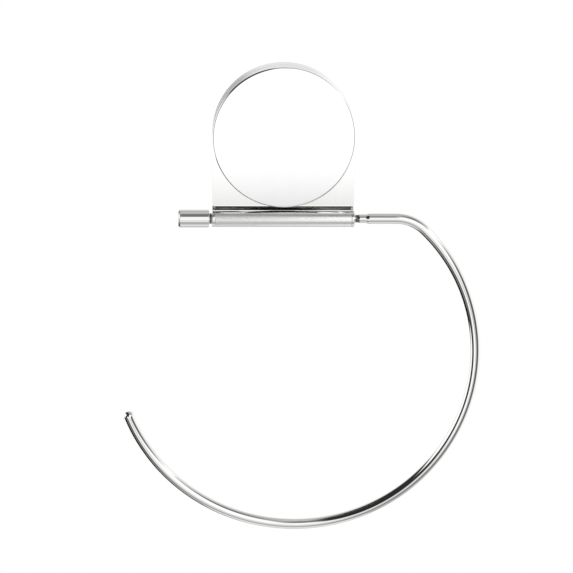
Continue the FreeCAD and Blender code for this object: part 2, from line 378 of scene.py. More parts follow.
def metal(name, colour, polish, grain, relief=0.0, dull_and_shade=None):
    """Metal with faint clouds in its tone and polish and with fine polishing marks, made once.

    polish is a roughness, or a function that gives it from the tree and the place on the object;
    the last argument is a function that gives 1 where the metal is not polished: rougher there, with its
    colour darkened as painted shade.
    """
    if name in bpy.data.materials:
        return bpy.data.materials[name]
    material, tree = material_tree(name)
    place = tree.node("ShaderNodeTexCoord").outputs["Object"]
    cloud = tree.noise(place, *CLOUDS)
    marks = tree.noise(place, *POLISHING_MARKS)
    tone = tree.colour_mix(cloud.step(0.3, 0.7), shade(colour, DARK_CLOUD), shade(colour, LIGHT_CLOUD))
    roughness = polish(tree, place) if callable(polish) else polish
    if dull_and_shade:
        unpolished_and_shaded = dull_and_shade(tree, place)
        # painted shade: the colour is darkened where the metal is not polished, in the fold and the grooves
        tone = tree.colour_mix(unpolished_and_shaded, tone, shade(colour, PAINTED_SHADE_TONE))
        roughness = roughness + unpolished_and_shaded * DULL_ROUGHNESS
    shader = tree.node("ShaderNodeBsdfPrincipled", {
        "Base Color": tone,
        "Metallic": 1.0,
        "Roughness": roughness + cloud.step(0.25, 0.75) * grain + marks.step(0.35, 0.7) * grain,
    })
    if relief:
        bump = {"Strength": relief, "Distance": MARK_HEIGHT * MM, "Height": marks}
        tree.feed(shader.inputs["Normal"], tree.node("ShaderNodeBump", bump))
    tree.surface(shader)
    return material


def from_hinge(tree, place):
    """A place in millimetres: x, how far it is before and above the hinge's axis, and away from it."""
    x, y, z = [part / MM for part in tree.separate(place)]
    forward = AXIS_Y - y
    up = z - AXIS_Z
    return SimpleNamespace(x=x, forward=forward, up=up, away=(forward * forward + up * up).math("SQRT"))


def on_barrel(at, radius):
    """1 on the barrel and 0 on the rest of the leaf."""
    return at.away.step(BARREL_BEGINS * radius, BARREL_FULL * radius)


def leaf_polish(tree, place):
    """Mirror polish, and on the barrel's front a satin ground after rolling, coarser to the left."""
    leaf = in_mm("leaf")
    radius = leaf.barrel_radius
    at = from_hinge(tree, place)
    front = on_barrel(at, radius) * at.forward.step(SATIN_BEGINS * radius, SATIN_FULL * radius)
    mirror, satin, coarser = 0.03, 0.23, 0.2
    return mirror + front * (satin + at.x.step(leaf.barrel_half, -leaf.barrel_half) * coarser)


def leaf_fold_dull_and_shade(tree, place):
    """The barrel's upper back lies inside the fold, where no polishing wheel reaches: it is rougher there,
    and its colour is darkened as painted shade of the fold.
    """
    radius = in_mm("leaf").barrel_radius
    at = from_hinge(tree, place)
    back = at.forward.step(FOLD_BACK_BEGINS * radius, FOLD_BACK_FULL * radius)
    upper = at.up.step(FOLD_UP_BEGINS * radius, FOLD_UP_FULL * radius)
    return on_barrel(at, radius) * (back * upper)


def bar_polish(tree, place):
    """Mirror polish, but the knob's end and its chamfer are satin, as they come off the lathe."""
    chamfer = in_mm("knob").chamfer
    at = from_hinge(tree, place)
    inner = KNOB_LOW.x + chamfer
    on_knob = at.away.step(2 * KNOB_RADIUS, KNOB_RADIUS)
    mirror, satin = 0.02, 0.33
    return mirror + at.x.step(inner, inner - chamfer / 4) * on_knob * satin


def in_groove(at, middle, width):
    """1 in the middle half of a groove round the hinge's axis, 0 beside the groove."""
    return (at.x - middle).math("ABSOLUTE").step(width / 2, width / 4)


def bar_groove_dull_and_shade(tree, place):
    """The grooves beside the barrel's ends are left as turned, so they are rougher, and their colour is
    darkened as painted shade in the grooves.
    """
    ring, knob = in_mm("ring"), in_mm("knob")
    at = from_hinge(tree, place)
    right = in_groove(at, BUSH_HIGH.x + ring.groove_start + ring.groove_width / 2, ring.groove_width)
    left = in_groove(at, KNOB_HIGH.x - knob.neck_length / 2, knob.groove_width)
    return at.away.step(1.2 * ring.rod_radius, ring.rod_radius) * right.at_least(left)


def mirror_metal():
    return metal("cover_mirror", in_mm("metal").mirror, polish=0.008, grain=0.003)


def sheet_metal():
    return metal("leaf_polish", in_mm("metal").sheet, polish=leaf_polish, grain=0.006, dull_and_shade=leaf_fold_dull_and_shade)


def base_metal():
    return metal("base_polish", in_mm("metal").sheet, polish=0.08, grain=0.02)


def bar_metal():
    return metal("bar_polish", in_mm("metal").bar, polish=bar_polish, grain=0.008, dull_and_shade=bar_groove_dull_and_shade)


def zinc_metal():
    return metal("zinc_plate", in_mm("metal").zinc, polish=0.28, grain=0.10, relief=0.15)


def screw_metal():
    return metal("screw_steel", in_mm("metal").steel, polish=0.22, grain=0.08, relief=0.1)


# Meshes

SEAM = 0.003  # points closer than this are merged
SUPPORT = 0.04  # from a rounding to the point beside it, which keeps the shading of straight parts even
OVERCUT = 1.0  # how far a drill reaches beyond the metal
HOLE_SIDES, HEXAGON = 48, 6

# Roundings of edges
FINE_EDGE, SHEET_EDGE, CHAMFER_EDGE, TURNED_EDGE = 0.1, 0.12, 0.15, 0.2


def rounded_line(corners, steps, closed):
    """Points through corners (a, r, rounding), with arcs and a point just outside each arc's ends."""
    points = []
    count = len(corners)
    for i, (a, r, radius) in enumerate(corners):
        here = Vector((a, r))
        inner = closed or 0 < i < count - 1
        if radius <= 0 or not inner:
            points.append(here)
            continue
        before = (Vector(corners[i - 1][:2]) - here).normalized()
        after = (Vector(corners[(i + 1) % count][:2]) - here).normalized()
        half = before.angle(after) / 2
        reach = radius / math.tan(half)
        centre = here + (before + after).normalized() * (radius / math.sin(half))
        spoke = here + before * reach - centre
        turn = math.pi - 2 * half
        side = 1.0 if before.x * after.y - before.y * after.x < 0 else -1.0
        points.append(here + before * (reach + SUPPORT))
        for k in range(steps + 1):
            points.append(centre + Matrix.Rotation(side * turn * k / steps, 2) @ spoke)
        points.append(here + after * (reach + SUPPORT))
    return points


def outward(mesh):
    """Merges doubled points and turns all faces outwards."""
    made = bmesh.new()
    made.from_mesh(mesh)
    bmesh.ops.remove_doubles(made, verts=made.verts, dist=SEAM * MM)
    bmesh.ops.recalc_face_normals(made, faces=made.faces)
    made.to_mesh(mesh)
    made.free()


def smooth(piece, angle=28.0):
    piece.data.shade_smooth()
    piece.data.set_sharp_from_angle(angle=math.radians(angle))


def new_object(name, mesh):
    made = bpy.data.objects.new(name, mesh)
    bpy.context.scene.collection.objects.link(made)
    return made


def new_piece(name, verts, faces, material):
    """A smooth piece from points in millimetres."""
    mesh = bpy.data.meshes.new(name)
    mesh.from_pydata([tuple(c * MM for c in vert) for vert in verts], [], faces)
    outward(mesh)
    mesh.materials.append(material)
    piece = new_object(name, mesh)
    smooth(piece)
    return piece


def turned(name, corners, place, material, segments, steps=10, closed=False):
    """Piece turned about an axis; place gives the point that is so far along, across and above the axis."""
    line = rounded_line(corners, steps, closed)
    turns = [math.tau * k / segments for k in range(segments)]
    verts = [place(a, r * math.cos(turn), r * math.sin(turn)) for a, r in line for turn in turns]
    faces = []
    for i in range(len(line) if closed else len(line) - 1):
        near = i * segments
        far = (i + 1) % len(line) * segments
        for k in range(segments):
            after = (k + 1) % segments
            faces.append((near + k, near + after, far + after, far + k))
    return new_piece(name, verts, faces, material)


def on_rose(along, across, up):
    return (across, along, up)


def on_hinge(along, across, up):
    return (along, AXIS_Y + across, AXIS_Z + up)


def groove(start, end, radius, depth):
    """Places and radii along a shallow round groove in a turned piece, from start to end."""
    steps = 12
    half = (end - start) / 2
    tool = (half * half + depth * depth) / (2 * depth)
    line = []
    for k in range(steps + 1):
        off = half * (2 * k / steps - 1)
        line.append((start + half + off, radius - depth + tool - math.sqrt(tool * tool - off * off)))
    return line


def evaluated(piece):
    """Gives the piece a plain mesh with its modifiers worked in."""
    bpy.context.view_layer.update()
    graph = bpy.context.evaluated_depsgraph_get()
    mesh = bpy.data.meshes.new_from_object(piece.evaluated_get(graph))
    piece.modifiers.clear()
    piece.data = mesh
    mesh.name = piece.name


def drill(piece, *holes):
    """Cuts round or hexagonal holes; a hole is its diameter, start, end and number of sides."""
    for diameter, start, end, sides in holes:
        start, end = Vector(start) * MM, Vector(end) * MM
        turn = (end - start).to_track_quat("Z", "Y").to_matrix().to_4x4()
        made = bmesh.new()
        bmesh.ops.create_cone(
            made, cap_ends=True, segments=sides, radius1=diameter * MM / 2, radius2=diameter * MM / 2,
            depth=(end - start).length, matrix=Matrix.Translation((start + end) / 2) @ turn)
        mesh = bpy.data.meshes.new("drill")
        made.to_mesh(mesh)
        made.free()
        cutter = new_object("drill", mesh)
        cut = piece.modifiers.new("hole", "BOOLEAN")
        cut.operation = "DIFFERENCE"
        cut.solver = "EXACT"
        cut.object = cutter
        evaluated(piece)
        bpy.data.objects.remove(cutter)
    smooth(piece)


def fixing_holes():
    """Holes for the stud and the two small screws, through the leaf and the base alike."""
    screws = in_mm("screws")
    aside = screws.screw_spacing / 2
    front, back = COVER_LOW.y, BASE_HIGH.y + OVERCUT
    return [
        (diameter + screws.hole_play, (x, front, 0), (x, back, 0), HOLE_SIDES)
        for diameter, x in ((screws.stud, 0), (screws.screw, -aside), (screws.screw, aside))
    ]


def seat(piece, body, slot, *nodes):
    """Gives a finished piece its body and hides the solids that it stands for; the slot is not used."""
    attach(piece, body)
    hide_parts(*nodes)


# Geometry nodes: the bar that follows the ring's path, and the threads


def shape_tree(name, *inputs):
    """A new geometry tree, and the values of its inputs, which are given as kind and name."""
    group = bpy.data.node_groups.new(name, "GeometryNodeTree")
    for kind, label in inputs:
        group.interface.new_socket(label, in_out="INPUT", socket_type="NodeSocket" + kind)
    group.interface.new_socket("Shape", in_out="OUTPUT", socket_type="NodeSocketGeometry")
    tree = Tree(group)
    given = tree.node("NodeGroupInput").outputs
    return tree, [tree.value(given[label]) for kind, label in inputs]


def close_tree(tree, geometry, material):
    """Ends a geometry tree with real geometry that has its metal on it."""
    merged = tree.node("GeometryNodeMergeByDistance", {"Geometry": geometry, "Distance": SEAM * MM})
    real = tree.node("GeometryNodeRealizeInstances", {0: merged})
    coated = tree.node("GeometryNodeSetMaterial", {"Geometry": real, "Material": material})
    tree.node("NodeGroupOutput", {0: coated})
    return tree.tree


def run_tree(piece, group, values):
    """Runs a geometry tree on a piece with inputs set by their identifiers, and keeps the plain mesh."""
    modifier = piece.modifiers.new("shape", "NODES")
    modifier.node_group = group
    for item in group.interface.items_tree:
        if item.in_out == "INPUT" and item.name in values:
            modifier[item.identifier] = values[item.name]
    evaluated(piece)
    outward(piece.data)


def bar_tree():
    """A bar swept along a straight line that is bent down and then on round the large arc."""
    tree, (line, start, bend, turn, ring, depth, height, sides, material) = shape_tree(
        "bent_bar", ("Geometry", "Line"), ("Float", "Bend Start"), ("Float", "Bend Radius"),
        ("Float", "Bend Angle"), ("Float", "Ring Radius"), ("Float", "Hinge Depth"),
        ("Float", "Hinge Height"), ("Int", "Sides"), ("Material", "Metal"))
    along = tree.separate(tree.node("GeometryNodeInputPosition"))[0]
    bent = ((along - start) / bend).at_least(0.0).at_most(turn)
    beyond = (along - start - bend * turn).at_least(0.0)
    swept = turn + beyond / ring
    x = along.at_most(start) + bend * bent.sin() + ring * (swept.sin() - turn.sin())
    z = bend * (bent.cos() - 1.0) + ring * (swept.cos() - turn.cos()) + height
    moved = tree.node("GeometryNodeSetPosition", {"Geometry": line, "Position": tree.combine(x, depth, z)})
    curve = tree.node("GeometryNodeMeshToCurve", {0: moved})
    thick = tree.node("GeometryNodeInputNamedAttribute", {"Name": "bar_radius"}, data_type="FLOAT")
    circle = tree.node("GeometryNodeCurvePrimitiveCircle", {"Resolution": sides, "Radius": 1.0})
    bar = tree.node("GeometryNodeCurveToMesh", {"Curve": curve, "Profile Curve": circle, "Scale": thick})
    return close_tree(tree, bar, material)


TIP_RADIUS = 0.001  # the bar's ends are drawn in to this radius, so that their points merge
END_SLOPE = 0.01  # the pin's end is this far from flat, so that the line there has a direction
FEATURE_GAP = 2.0  # from an end or a shoulder to the next place on the plain bar
DOME_GAP = 0.5  # from the last place on the plain bar to the dome
PIN_STEP, STRAIGHT_STEP, BENT_STEP = 6.0, 2.5, 0.9
SHOULDER_STEPS, DOME_STEPS = 8, 16


def places(first, last, step, radius):
    """Places every step from first to short of last, each with the same radius."""
    count = math.ceil((last - first) / step)
    return [(first + step * k, radius) for k in range(count)]


def bar_line(settings, end):
    """Places along the straight bar, up to its dome, and the bar's radius there."""
    pin, rod = settings.pin_radius, settings.rod_radius
    left = -settings.pin_end
    groove_start = BUSH_HIGH.x + settings.groove_start
    groove_end = groove_start + settings.groove_width
    full = settings.shoulder + settings.shoulder_length
    chamfer = settings.pin_chamfer
    line = [(left, TIP_RADIUS), (left + END_SLOPE, pin - chamfer), (left + chamfer, pin)]
    line += places(left + FEATURE_GAP, groove_start, PIN_STEP, pin)
    line += groove(groove_start, groove_end, pin, settings.groove_depth)
    line += [(groove_end + SUPPORT, pin), (settings.shoulder - SUPPORT, pin)]
    for k in range(SHOULDER_STEPS + 1):
        share = k / SHOULDER_STEPS
        ease = share * share * (3 - 2 * share)
        line.append((settings.shoulder + share * settings.shoulder_length, pin + (rod - pin) * ease))
    line.append((full + SUPPORT, rod))
    line += places(full + FEATURE_GAP, settings.bend_start, STRAIGHT_STEP, rod)
    line += places(settings.bend_start, end - DOME_GAP, BENT_STEP, rod)
    for k in range(DOME_STEPS + 1):
        angle = math.pi / 2 * k / DOME_STEPS
        line.append((end + rod * math.sin(angle), max(rod * math.cos(angle), TIP_RADIUS)))
    return line


def bend_turn(settings):
    """How far the bar turns in its bend, in radians."""
    rise = settings.ring_drop + AXIS_Z - settings.bend_radius
    return math.acos(rise / (settings.ring_radius - settings.bend_radius))


def thread_tree():
    """Threaded shanks in a row: a spiral groove, run out at both ends, on a round bar along Z."""
    tree, (radius, reach, pitch, depth, spacing, rings, sides, count, material) = shape_tree(
        "threaded_shank", ("Float", "Radius"), ("Float", "Length"), ("Float", "Pitch"),
        ("Float", "Depth"), ("Float", "Spacing"), ("Int", "Rings"), ("Int", "Sides"),
        ("Int", "Count"), ("Material", "Metal"))
    grid = tree.node("GeometryNodeMeshGrid", {
        "Size X": 1.0, "Size Y": 1.0, "Vertices X": sides + 1, "Vertices Y": rings,
    })
    across, along = tree.separate(tree.node("GeometryNodeInputPosition"))[:2]
    turn = across + 0.5
    height = (along + 0.5) * reach
    tooth = ((height / pitch - turn).math("FRACT") * 2.0 - 1.0).math("ABSOLUTE")
    run_out = height.at_most(reach - height)
    thick = (radius - depth * (1.0 - tooth)).at_most(radius - depth + run_out)
    angle = turn * math.tau
    wall = tree.node("GeometryNodeSetPosition", {
        "Geometry": grid, "Position": tree.combine(thick * angle.cos(), thick * angle.sin(), height),
    })
    end = tree.node(
        "GeometryNodeMeshCircle", {"Vertices": sides, "Radius": radius - depth}, fill_type="NGON")
    far = tree.node("GeometryNodeTransform", {
        "Geometry": end, "Translation": tree.combine(0.0, 0.0, reach),
    })
    parts = tree.node("GeometryNodeJoinGeometry")
    for part in (far, end, wall):
        tree.feed(parts.inputs[0], part)
    row = tree.node("GeometryNodeMeshLine", {
        "Count": count,
        "Start Location": tree.combine(spacing * (count - 1.0) * -0.5, 0.0, 0.0),
        "Offset": tree.combine(spacing, 0.0, 0.0),
    })
    placed = tree.node("GeometryNodeInstanceOnPoints", {"Points": row, "Instance": parts})
    return close_tree(tree, placed, material)


THREAD_DEPTH = 0.6  # share of the pitch
THREAD_SIDES, RINGS_A_TURN = 40, 8


def threaded(name, diameter, pitch, start, end, count=1, spacing=0.0):
    """Threaded shanks from start to end, beside one another along X."""
    start, end = Vector(start), Vector(end)
    reach = (end - start).length
    piece = new_object(name, bpy.data.meshes.new(name))
    run_tree(piece, bpy.data.node_groups.get("threaded_shank") or thread_tree(), {
        "Radius": diameter / 2 * MM,
        "Length": reach * MM,
        "Pitch": pitch * MM,
        "Depth": THREAD_DEPTH * pitch * MM,
        "Spacing": spacing * MM,
        "Rings": round(reach / pitch * RINGS_A_TURN) + 1,
        "Sides": THREAD_SIDES,
        "Count": count,
        "Metal": screw_metal(),
    })
    ahead = (end - start).normalized()
    right = Vector((1.0, 0.0, 0.0))
    axes = Matrix((right, ahead.cross(right), ahead)).transposed().to_4x4()
    piece.data.transform(Matrix.Translation(start * MM) @ axes)
    smooth(piece, angle=50.0)
    return piece


# Operators


class TOWELRING_OT_cover(bpy.types.Operator):
    """Builds the round cover with its mirror face."""
    bl_idname = "towel_ring.cover"
    bl_label = "Build Cover"

    def execute(self, context):
        settings = in_mm("cover")
        front, back = COVER_LOW.y, COVER_HIGH.y
        inner = settings.radius - settings.sheet
        inside = front + settings.sheet
        piece = turned("cover_face", [
            (front, 0, 0),
            (front, settings.radius, settings.edge),
            (back, settings.radius, SHEET_EDGE),
            (back, inner, SHEET_EDGE),
            (inside, inner, settings.edge / 2),
            (inside, 0, 0),
        ], on_rose, mirror_metal(), segments=256)
        seat(piece, "wall_fitting", "polished_chrome", "front_cover")
        return {"FINISHED"}


FOLD_STEPS, BARREL_STEPS, TOP_STEPS = 32, 96, 128  # faces along the leaf's fold, barrel and round top


def arc_points(centre_z, radius, first, last, count):
    """Points (y, z) on an arc about the hinge's depth, from the first angle to the last."""
    angles = [first + (last - first) * k / count for k in range(count + 1)]
    return [(AXIS_Y + radius * math.cos(a), centre_z + radius * math.sin(a)) for a in angles]


def rolled_line(settings, depth):
    """Line (y, z) of the rolled sheet at a depth in it: forward under the leaf, then round the barrel."""
    rise = settings.barrel_gap + settings.sheet
    outer = settings.barrel_radius + rise
    reach = outer - settings.sheet - settings.closing_gap
    lift = (settings.barrel_radius ** 2 + rise ** 2 - reach ** 2) / (2 * settings.barrel_radius * rise)
    under, free_edge = -math.pi / 2, math.asin(lift) - 2 * math.pi
    fold = arc_points(AXIS_Z + rise, outer - depth, 0.0, under, FOLD_STEPS)
    barrel = arc_points(AXIS_Z, settings.barrel_radius - depth, under, free_edge, BARREL_STEPS)
    return fold + barrel[1:]


def leaf_piece(settings):
    """The leaf's sheet with sharp edges: its flat part, and the rolled part hanging from it."""
    back, half = LEAF_HIGH.y, LEAF_HIGH.x
    lower = AXIS_Z + settings.barrel_gap + settings.sheet
    verts, faces = [], []

    def add(x, y, z):
        verts.append((x, y, z))
        return len(verts) - 1

    # the rolled part: outside and inside of the sheet, its two ends and its free edge
    (out_left, out_right), (in_left, in_right) = [
        [[add(x, y, z) for y, z in rolled_line(settings, depth)]
         for x in (-settings.barrel_half, settings.barrel_half)]
        for depth in (0.0, settings.sheet)
    ]
    for k in range(len(out_left) - 1):
        faces.append((out_left[k], out_right[k], out_right[k + 1], out_left[k + 1]))
        faces.append((in_left[k + 1], in_right[k + 1], in_right[k], in_left[k]))
        faces.append((out_left[k + 1], in_left[k + 1], in_left[k], out_left[k]))
        faces.append((out_right[k], in_right[k], in_right[k + 1], out_right[k + 1]))
    faces.append((out_left[-1], out_right[-1], in_right[-1], in_left[-1]))

    # the flat part: round above, with the rolled part's corners in its lower edge
    turns = [math.pi * k / TOP_STEPS for k in range(TOP_STEPS + 1)]
    rim = [(half * math.cos(turn), half * math.sin(turn)) for turn in turns] + [(-half, lower)]
    back_rim, front_rim = [
        [add(x, y, z) for x, z in rim] + [left[0], right[0], add(half, y, lower)]
        for y, left, right in ((back, out_left, out_right), (back - settings.sheet, in_left, in_right))
    ]
    faces.append(tuple(back_rim))
    faces.append(tuple(reversed(front_rim)))
    for k, corner in enumerate(back_rim):
        after = (k + 1) % len(back_rim)
        if corner != out_left[0]:
            faces.append((front_rim[k], front_rim[after], back_rim[after], corner))
    return new_piece("leaf_sheet", verts, faces, sheet_metal())


class TOWELRING_OT_leaf(bpy.types.Operator):
    """Builds the leaf and the barrel rolled from its lower edge."""
    bl_idname = "towel_ring.leaf"
    bl_label = "Build Leaf"

    def execute(self, context):
        settings = in_mm("leaf")
        piece = leaf_piece(settings)
        drill(piece, *fixing_holes())
        bevel = piece.modifiers.new("edges", "BEVEL")
        bevel.width = settings.edge * MM
        bevel.segments = 3
        bevel.limit_method = "ANGLE"
        bevel.angle_limit = math.radians(40)
        weighted = piece.modifiers.new("flats", "WEIGHTED_NORMAL")
        weighted.keep_sharp = True
        weighted.weight = 100
        evaluated(piece)
        seat(piece, "wall_fitting", "polished_sheet", "hinge_leaf")
        return {"FINISHED"}


class TOWELRING_OT_bushes(bpy.types.Operator):
    """Builds the flanged bushes in the barrel's ends."""
    bl_idname = "towel_ring.bushes"
    bl_label = "Build Bushes"

    def execute(self, context):
        leaf = in_mm("leaf")
        ring = in_mm("ring")
        bore = ring.pin_radius + ring.pin_play
        sleeve = leaf.barrel_radius - leaf.sheet - leaf.press_gap
        outside, inside = BUSH_HIGH.x, BUSH_LOW.x
        flange = outside - leaf.flange
        for side, node in ((-1, "bush_left"), (1, "bush_right")):
            piece = turned(node + "_turned", [
                (side * outside, bore, SHEET_EDGE),
                (side * outside, leaf.barrel_radius, TURNED_EDGE),
                (side * flange, leaf.barrel_radius, TURNED_EDGE),
                (side * flange, sleeve, 0),
                (side * inside, sleeve, TURNED_EDGE),
                (side * inside, bore, FINE_EDGE),
            ], on_hinge, bar_metal(), segments=96, steps=6, closed=True)
            seat(piece, "wall_fitting", "bush_steel", node)
        return {"FINISHED"}


class TOWELRING_OT_ring(bpy.types.Operator):
    """Builds the bar that is bent to the ring."""
    bl_idname = "towel_ring.ring"
    bl_label = "Build Ring"

    def execute(self, context):
        settings = in_mm("ring")
        turn = bend_turn(settings)
        sweep = math.tau + math.pi / 2 - settings.ring_end - turn
        end = settings.bend_start + settings.bend_radius * turn + settings.ring_radius * sweep
        line = bar_line(settings, end)
        mesh = bpy.data.meshes.new("ring_bar")
        edges = [(k, k + 1) for k in range(len(line) - 1)]
        mesh.from_pydata([(place * MM, 0.0, 0.0) for place, radius in line], edges, [])
        thick = mesh.attributes.new("bar_radius", "FLOAT", "POINT")
        thick.data.foreach_set("value", [radius * MM for place, radius in line])
        piece = new_object("ring_bar", mesh)
        run_tree(piece, bar_tree(), {
            "Bend Start": settings.bend_start * MM,
            "Bend Radius": settings.bend_radius * MM,
            "Bend Angle": turn,
            "Ring Radius": settings.ring_radius * MM,
            "Hinge Depth": AXIS_Y * MM,
            "Hinge Height": AXIS_Z * MM,
            "Sides": settings.sides,
            "Metal": bar_metal(),
        })
        smooth(piece, angle=40.0)
        seat(piece, "ring", "polished_rod", "ring_rod")
        return {"FINISHED"}


class TOWELRING_OT_knob(bpy.types.Operator):
    """Builds the knob on the hinge end."""
    bl_idname = "towel_ring.knob"
    bl_label = "Build Knob"

    def execute(self, context):
        settings = in_mm("knob")
        ring = in_mm("ring")
        left, face = KNOB_LOW.x, KNOB_HIGH.x
        bore = ring.pin_radius + settings.bore_gap
        neck = face - settings.neck_length
        middle, half = (face + neck) / 2, settings.groove_width / 2
        grooved = groove(middle + half, middle - half, settings.neck_radius, settings.groove_depth)
        piece = turned("knob_turned", [
            (face - settings.bore_depth, 0, 0),
            (face - settings.bore_depth, bore, 0),
            (face, bore, FINE_EDGE),
            (face, settings.neck_radius, FINE_EDGE),
            *[(place, radius, 0.0) for place, radius in grooved],
            (neck, settings.neck_radius, 0),
            (neck, KNOB_RADIUS, TURNED_EDGE),
            (left + settings.chamfer, KNOB_RADIUS, CHAMFER_EDGE),
            (left, KNOB_RADIUS - settings.chamfer, CHAMFER_EDGE),
            (left, 0, 0),
        ], on_hinge, bar_metal(), segments=128, steps=6)
        seat(piece, "ring", "polished_rod", "end_knob")
        return {"FINISHED"}


class TOWELRING_OT_base(bpy.types.Operator):
    """Builds the base between the leaf and the wall."""
    bl_idname = "towel_ring.base"
    bl_label = "Build Base"

    def execute(self, context):
        settings = in_mm("base")
        screws = in_mm("screws")
        front, back, radius = BASE_LOW.y, BASE_HIGH.y, BASE_HIGH.x
        inside = radius - settings.rim
        web = front + settings.web
        piece = turned("base_shell", [
            (front, 0, 0),
            (front, radius, settings.edge),
            (back, radius, settings.edge),
            (back, inside, SHEET_EDGE),
            (web, inside, settings.edge),
            (web, 0, 0),
        ], on_rose, base_metal(), segments=256)
        grub_y = (GRUB_LOW.y + GRUB_HIGH.y) / 2
        below, above = (0, grub_y, -radius - OVERCUT), (0, grub_y, -inside + OVERCUT)
        drill(piece, (screws.grub + screws.hole_play, below, above, HOLE_SIDES), *fixing_holes())
        seat(piece, "wall_fitting", "cast_base", "base_cup")
        return {"FINISHED"}


def build_stud(settings):
    """The stud with its welded head."""
    front, back = STUD_LOW.y, STUD_HIGH.y
    under = front + settings.stud_head_height
    neck_end = under + settings.stud_neck
    overlap, fillet = 0.1, 0.3
    head = turned("stud_head", [
        (front, 0, 0),
        (front, settings.stud_head / 2, TURNED_EDGE),
        (under, settings.stud_head / 2, TURNED_EDGE),
        (under, settings.stud / 2, fillet),
        (neck_end, settings.stud / 2, FINE_EDGE),
        (neck_end, 0, 0),
    ], on_rose, screw_metal(), segments=96)
    seat(head, "wall_fitting", "screw_steel", "cover_stud")
    thread = threaded(
        "stud_thread", settings.stud, settings.stud_pitch, (0, neck_end - overlap, 0), (0, back, 0))
    seat(thread, "wall_fitting", "screw_steel")


def build_leaf_screws(settings, leaf_front):
    """The two screws in the leaf, with hexagonal sockets in their heads."""
    front, end = SCREWS_LOW.y, SCREWS_HIGH.y
    overlap = 0.3
    shanks = threaded(
        "leaf_screw_threads", settings.screw, settings.screw_pitch,
        (0, leaf_front - overlap, 0), (0, end, 0), count=2, spacing=settings.screw_spacing)
    seat(shanks, "wall_fitting", "screw_steel", "leaf_screws")
    for name, side in (("left", -1), ("right", 1)):
        x = side * settings.screw_spacing / 2
        screw = turned("leaf_screw_" + name, [
            (front, 0, 0),
            (front, settings.screw_head / 2, settings.screw_crown),
            (leaf_front, settings.screw_head / 2, FINE_EDGE),
            (leaf_front, 0, 0),
        ], lambda along, across, up: (x + across, along, up), screw_metal(), segments=64)
        outside, bottom = (x, front - OVERCUT, 0), (x, front + settings.screw_socket_depth, 0)
        drill(screw, (settings.socket, outside, bottom, HEXAGON))
        seat(screw, "wall_fitting", "screw_steel")


def build_grub_screw(settings):
    """The grub screw that holds the base on the bracket, with its socket below and its tip above."""
    low, high, y = GRUB_LOW.z, GRUB_HIGH.z, (GRUB_LOW.y + GRUB_HIGH.y) / 2
    tip_start = high - settings.grub_tip_length
    overlap, tip_chamfer = 0.2, 0.3
    grub = threaded(
        "grub_thread", settings.grub, settings.grub_pitch, (0, y, low), (0, y, tip_start + overlap))
    outside, bottom = (0, y, low - OVERCUT), (0, y, low + settings.grub_socket_depth)
    drill(grub, (settings.socket, outside, bottom, HEXAGON))
    seat(grub, "wall_fitting", "screw_steel", "grub_screw")
    tip = turned("grub_tip", [
        (tip_start, 0, 0),
        (tip_start, settings.grub_tip / 2, FINE_EDGE),
        (high, settings.grub_tip / 2 - tip_chamfer, FINE_EDGE),
        (high, 0, 0),
    ], lambda along, across, up: (across, y + up, along), screw_metal(), segments=48)
    seat(tip, "wall_fitting", "screw_steel")


class TOWELRING_OT_fasteners(bpy.types.Operator):
    """Builds the stud, the screws in the leaf and the grub screw."""
    bl_idname = "towel_ring.fasteners"
    bl_label = "Build Fasteners"

    def execute(self, context):
        settings = in_mm("screws")
        leaf = in_mm("leaf")
        build_stud(settings)
        build_leaf_screws(settings, LEAF_HIGH.y - leaf.sheet)
        build_grub_screw(settings)
        return {"FINISHED"}


class TOWELRING_OT_plated(bpy.types.Operator):
    """Gives the bracket, the washer and the nut their plating."""
    bl_idname = "towel_ring.plated"
    bl_label = "Plate Bracket and Nut"

    def execute(self, context):
        for node in ("wall_bracket", "stud_washer", "stud_nut"):
            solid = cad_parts[node]
            solid.data.materials.clear()
            solid.data.materials.append(zinc_metal())
        return {"FINISHED"}


# Studio

# The camera's place: the point that it looks at and its distance in metres, and its angles in degrees
CAMERA_TARGET = Vector((0.00173, -0.0150, -0.07304))
CAMERA_DISTANCE = 1.3
CAMERA_AZIMUTH, CAMERA_ELEVATION, CAMERA_ROLL = -2.054, 15.098, 0.523
CAMERA_LENS, SENSOR_WIDTH = 169.4, 36.0
FLOOR_SIDES = 96
FLOOR_EDGE = 0.98  # share of the floor's radius from which it is all white

# Light of the tent by elevation, from straight below to straight above
TENT_LIGHT = (
    (-90, 0.60), (-60, 0.52), (-40, 0.46), (-20, 0.73), (0, 0.65),
    (20, 0.95), (40, 0.71), (60, 0.49), (90, 0.67),
)
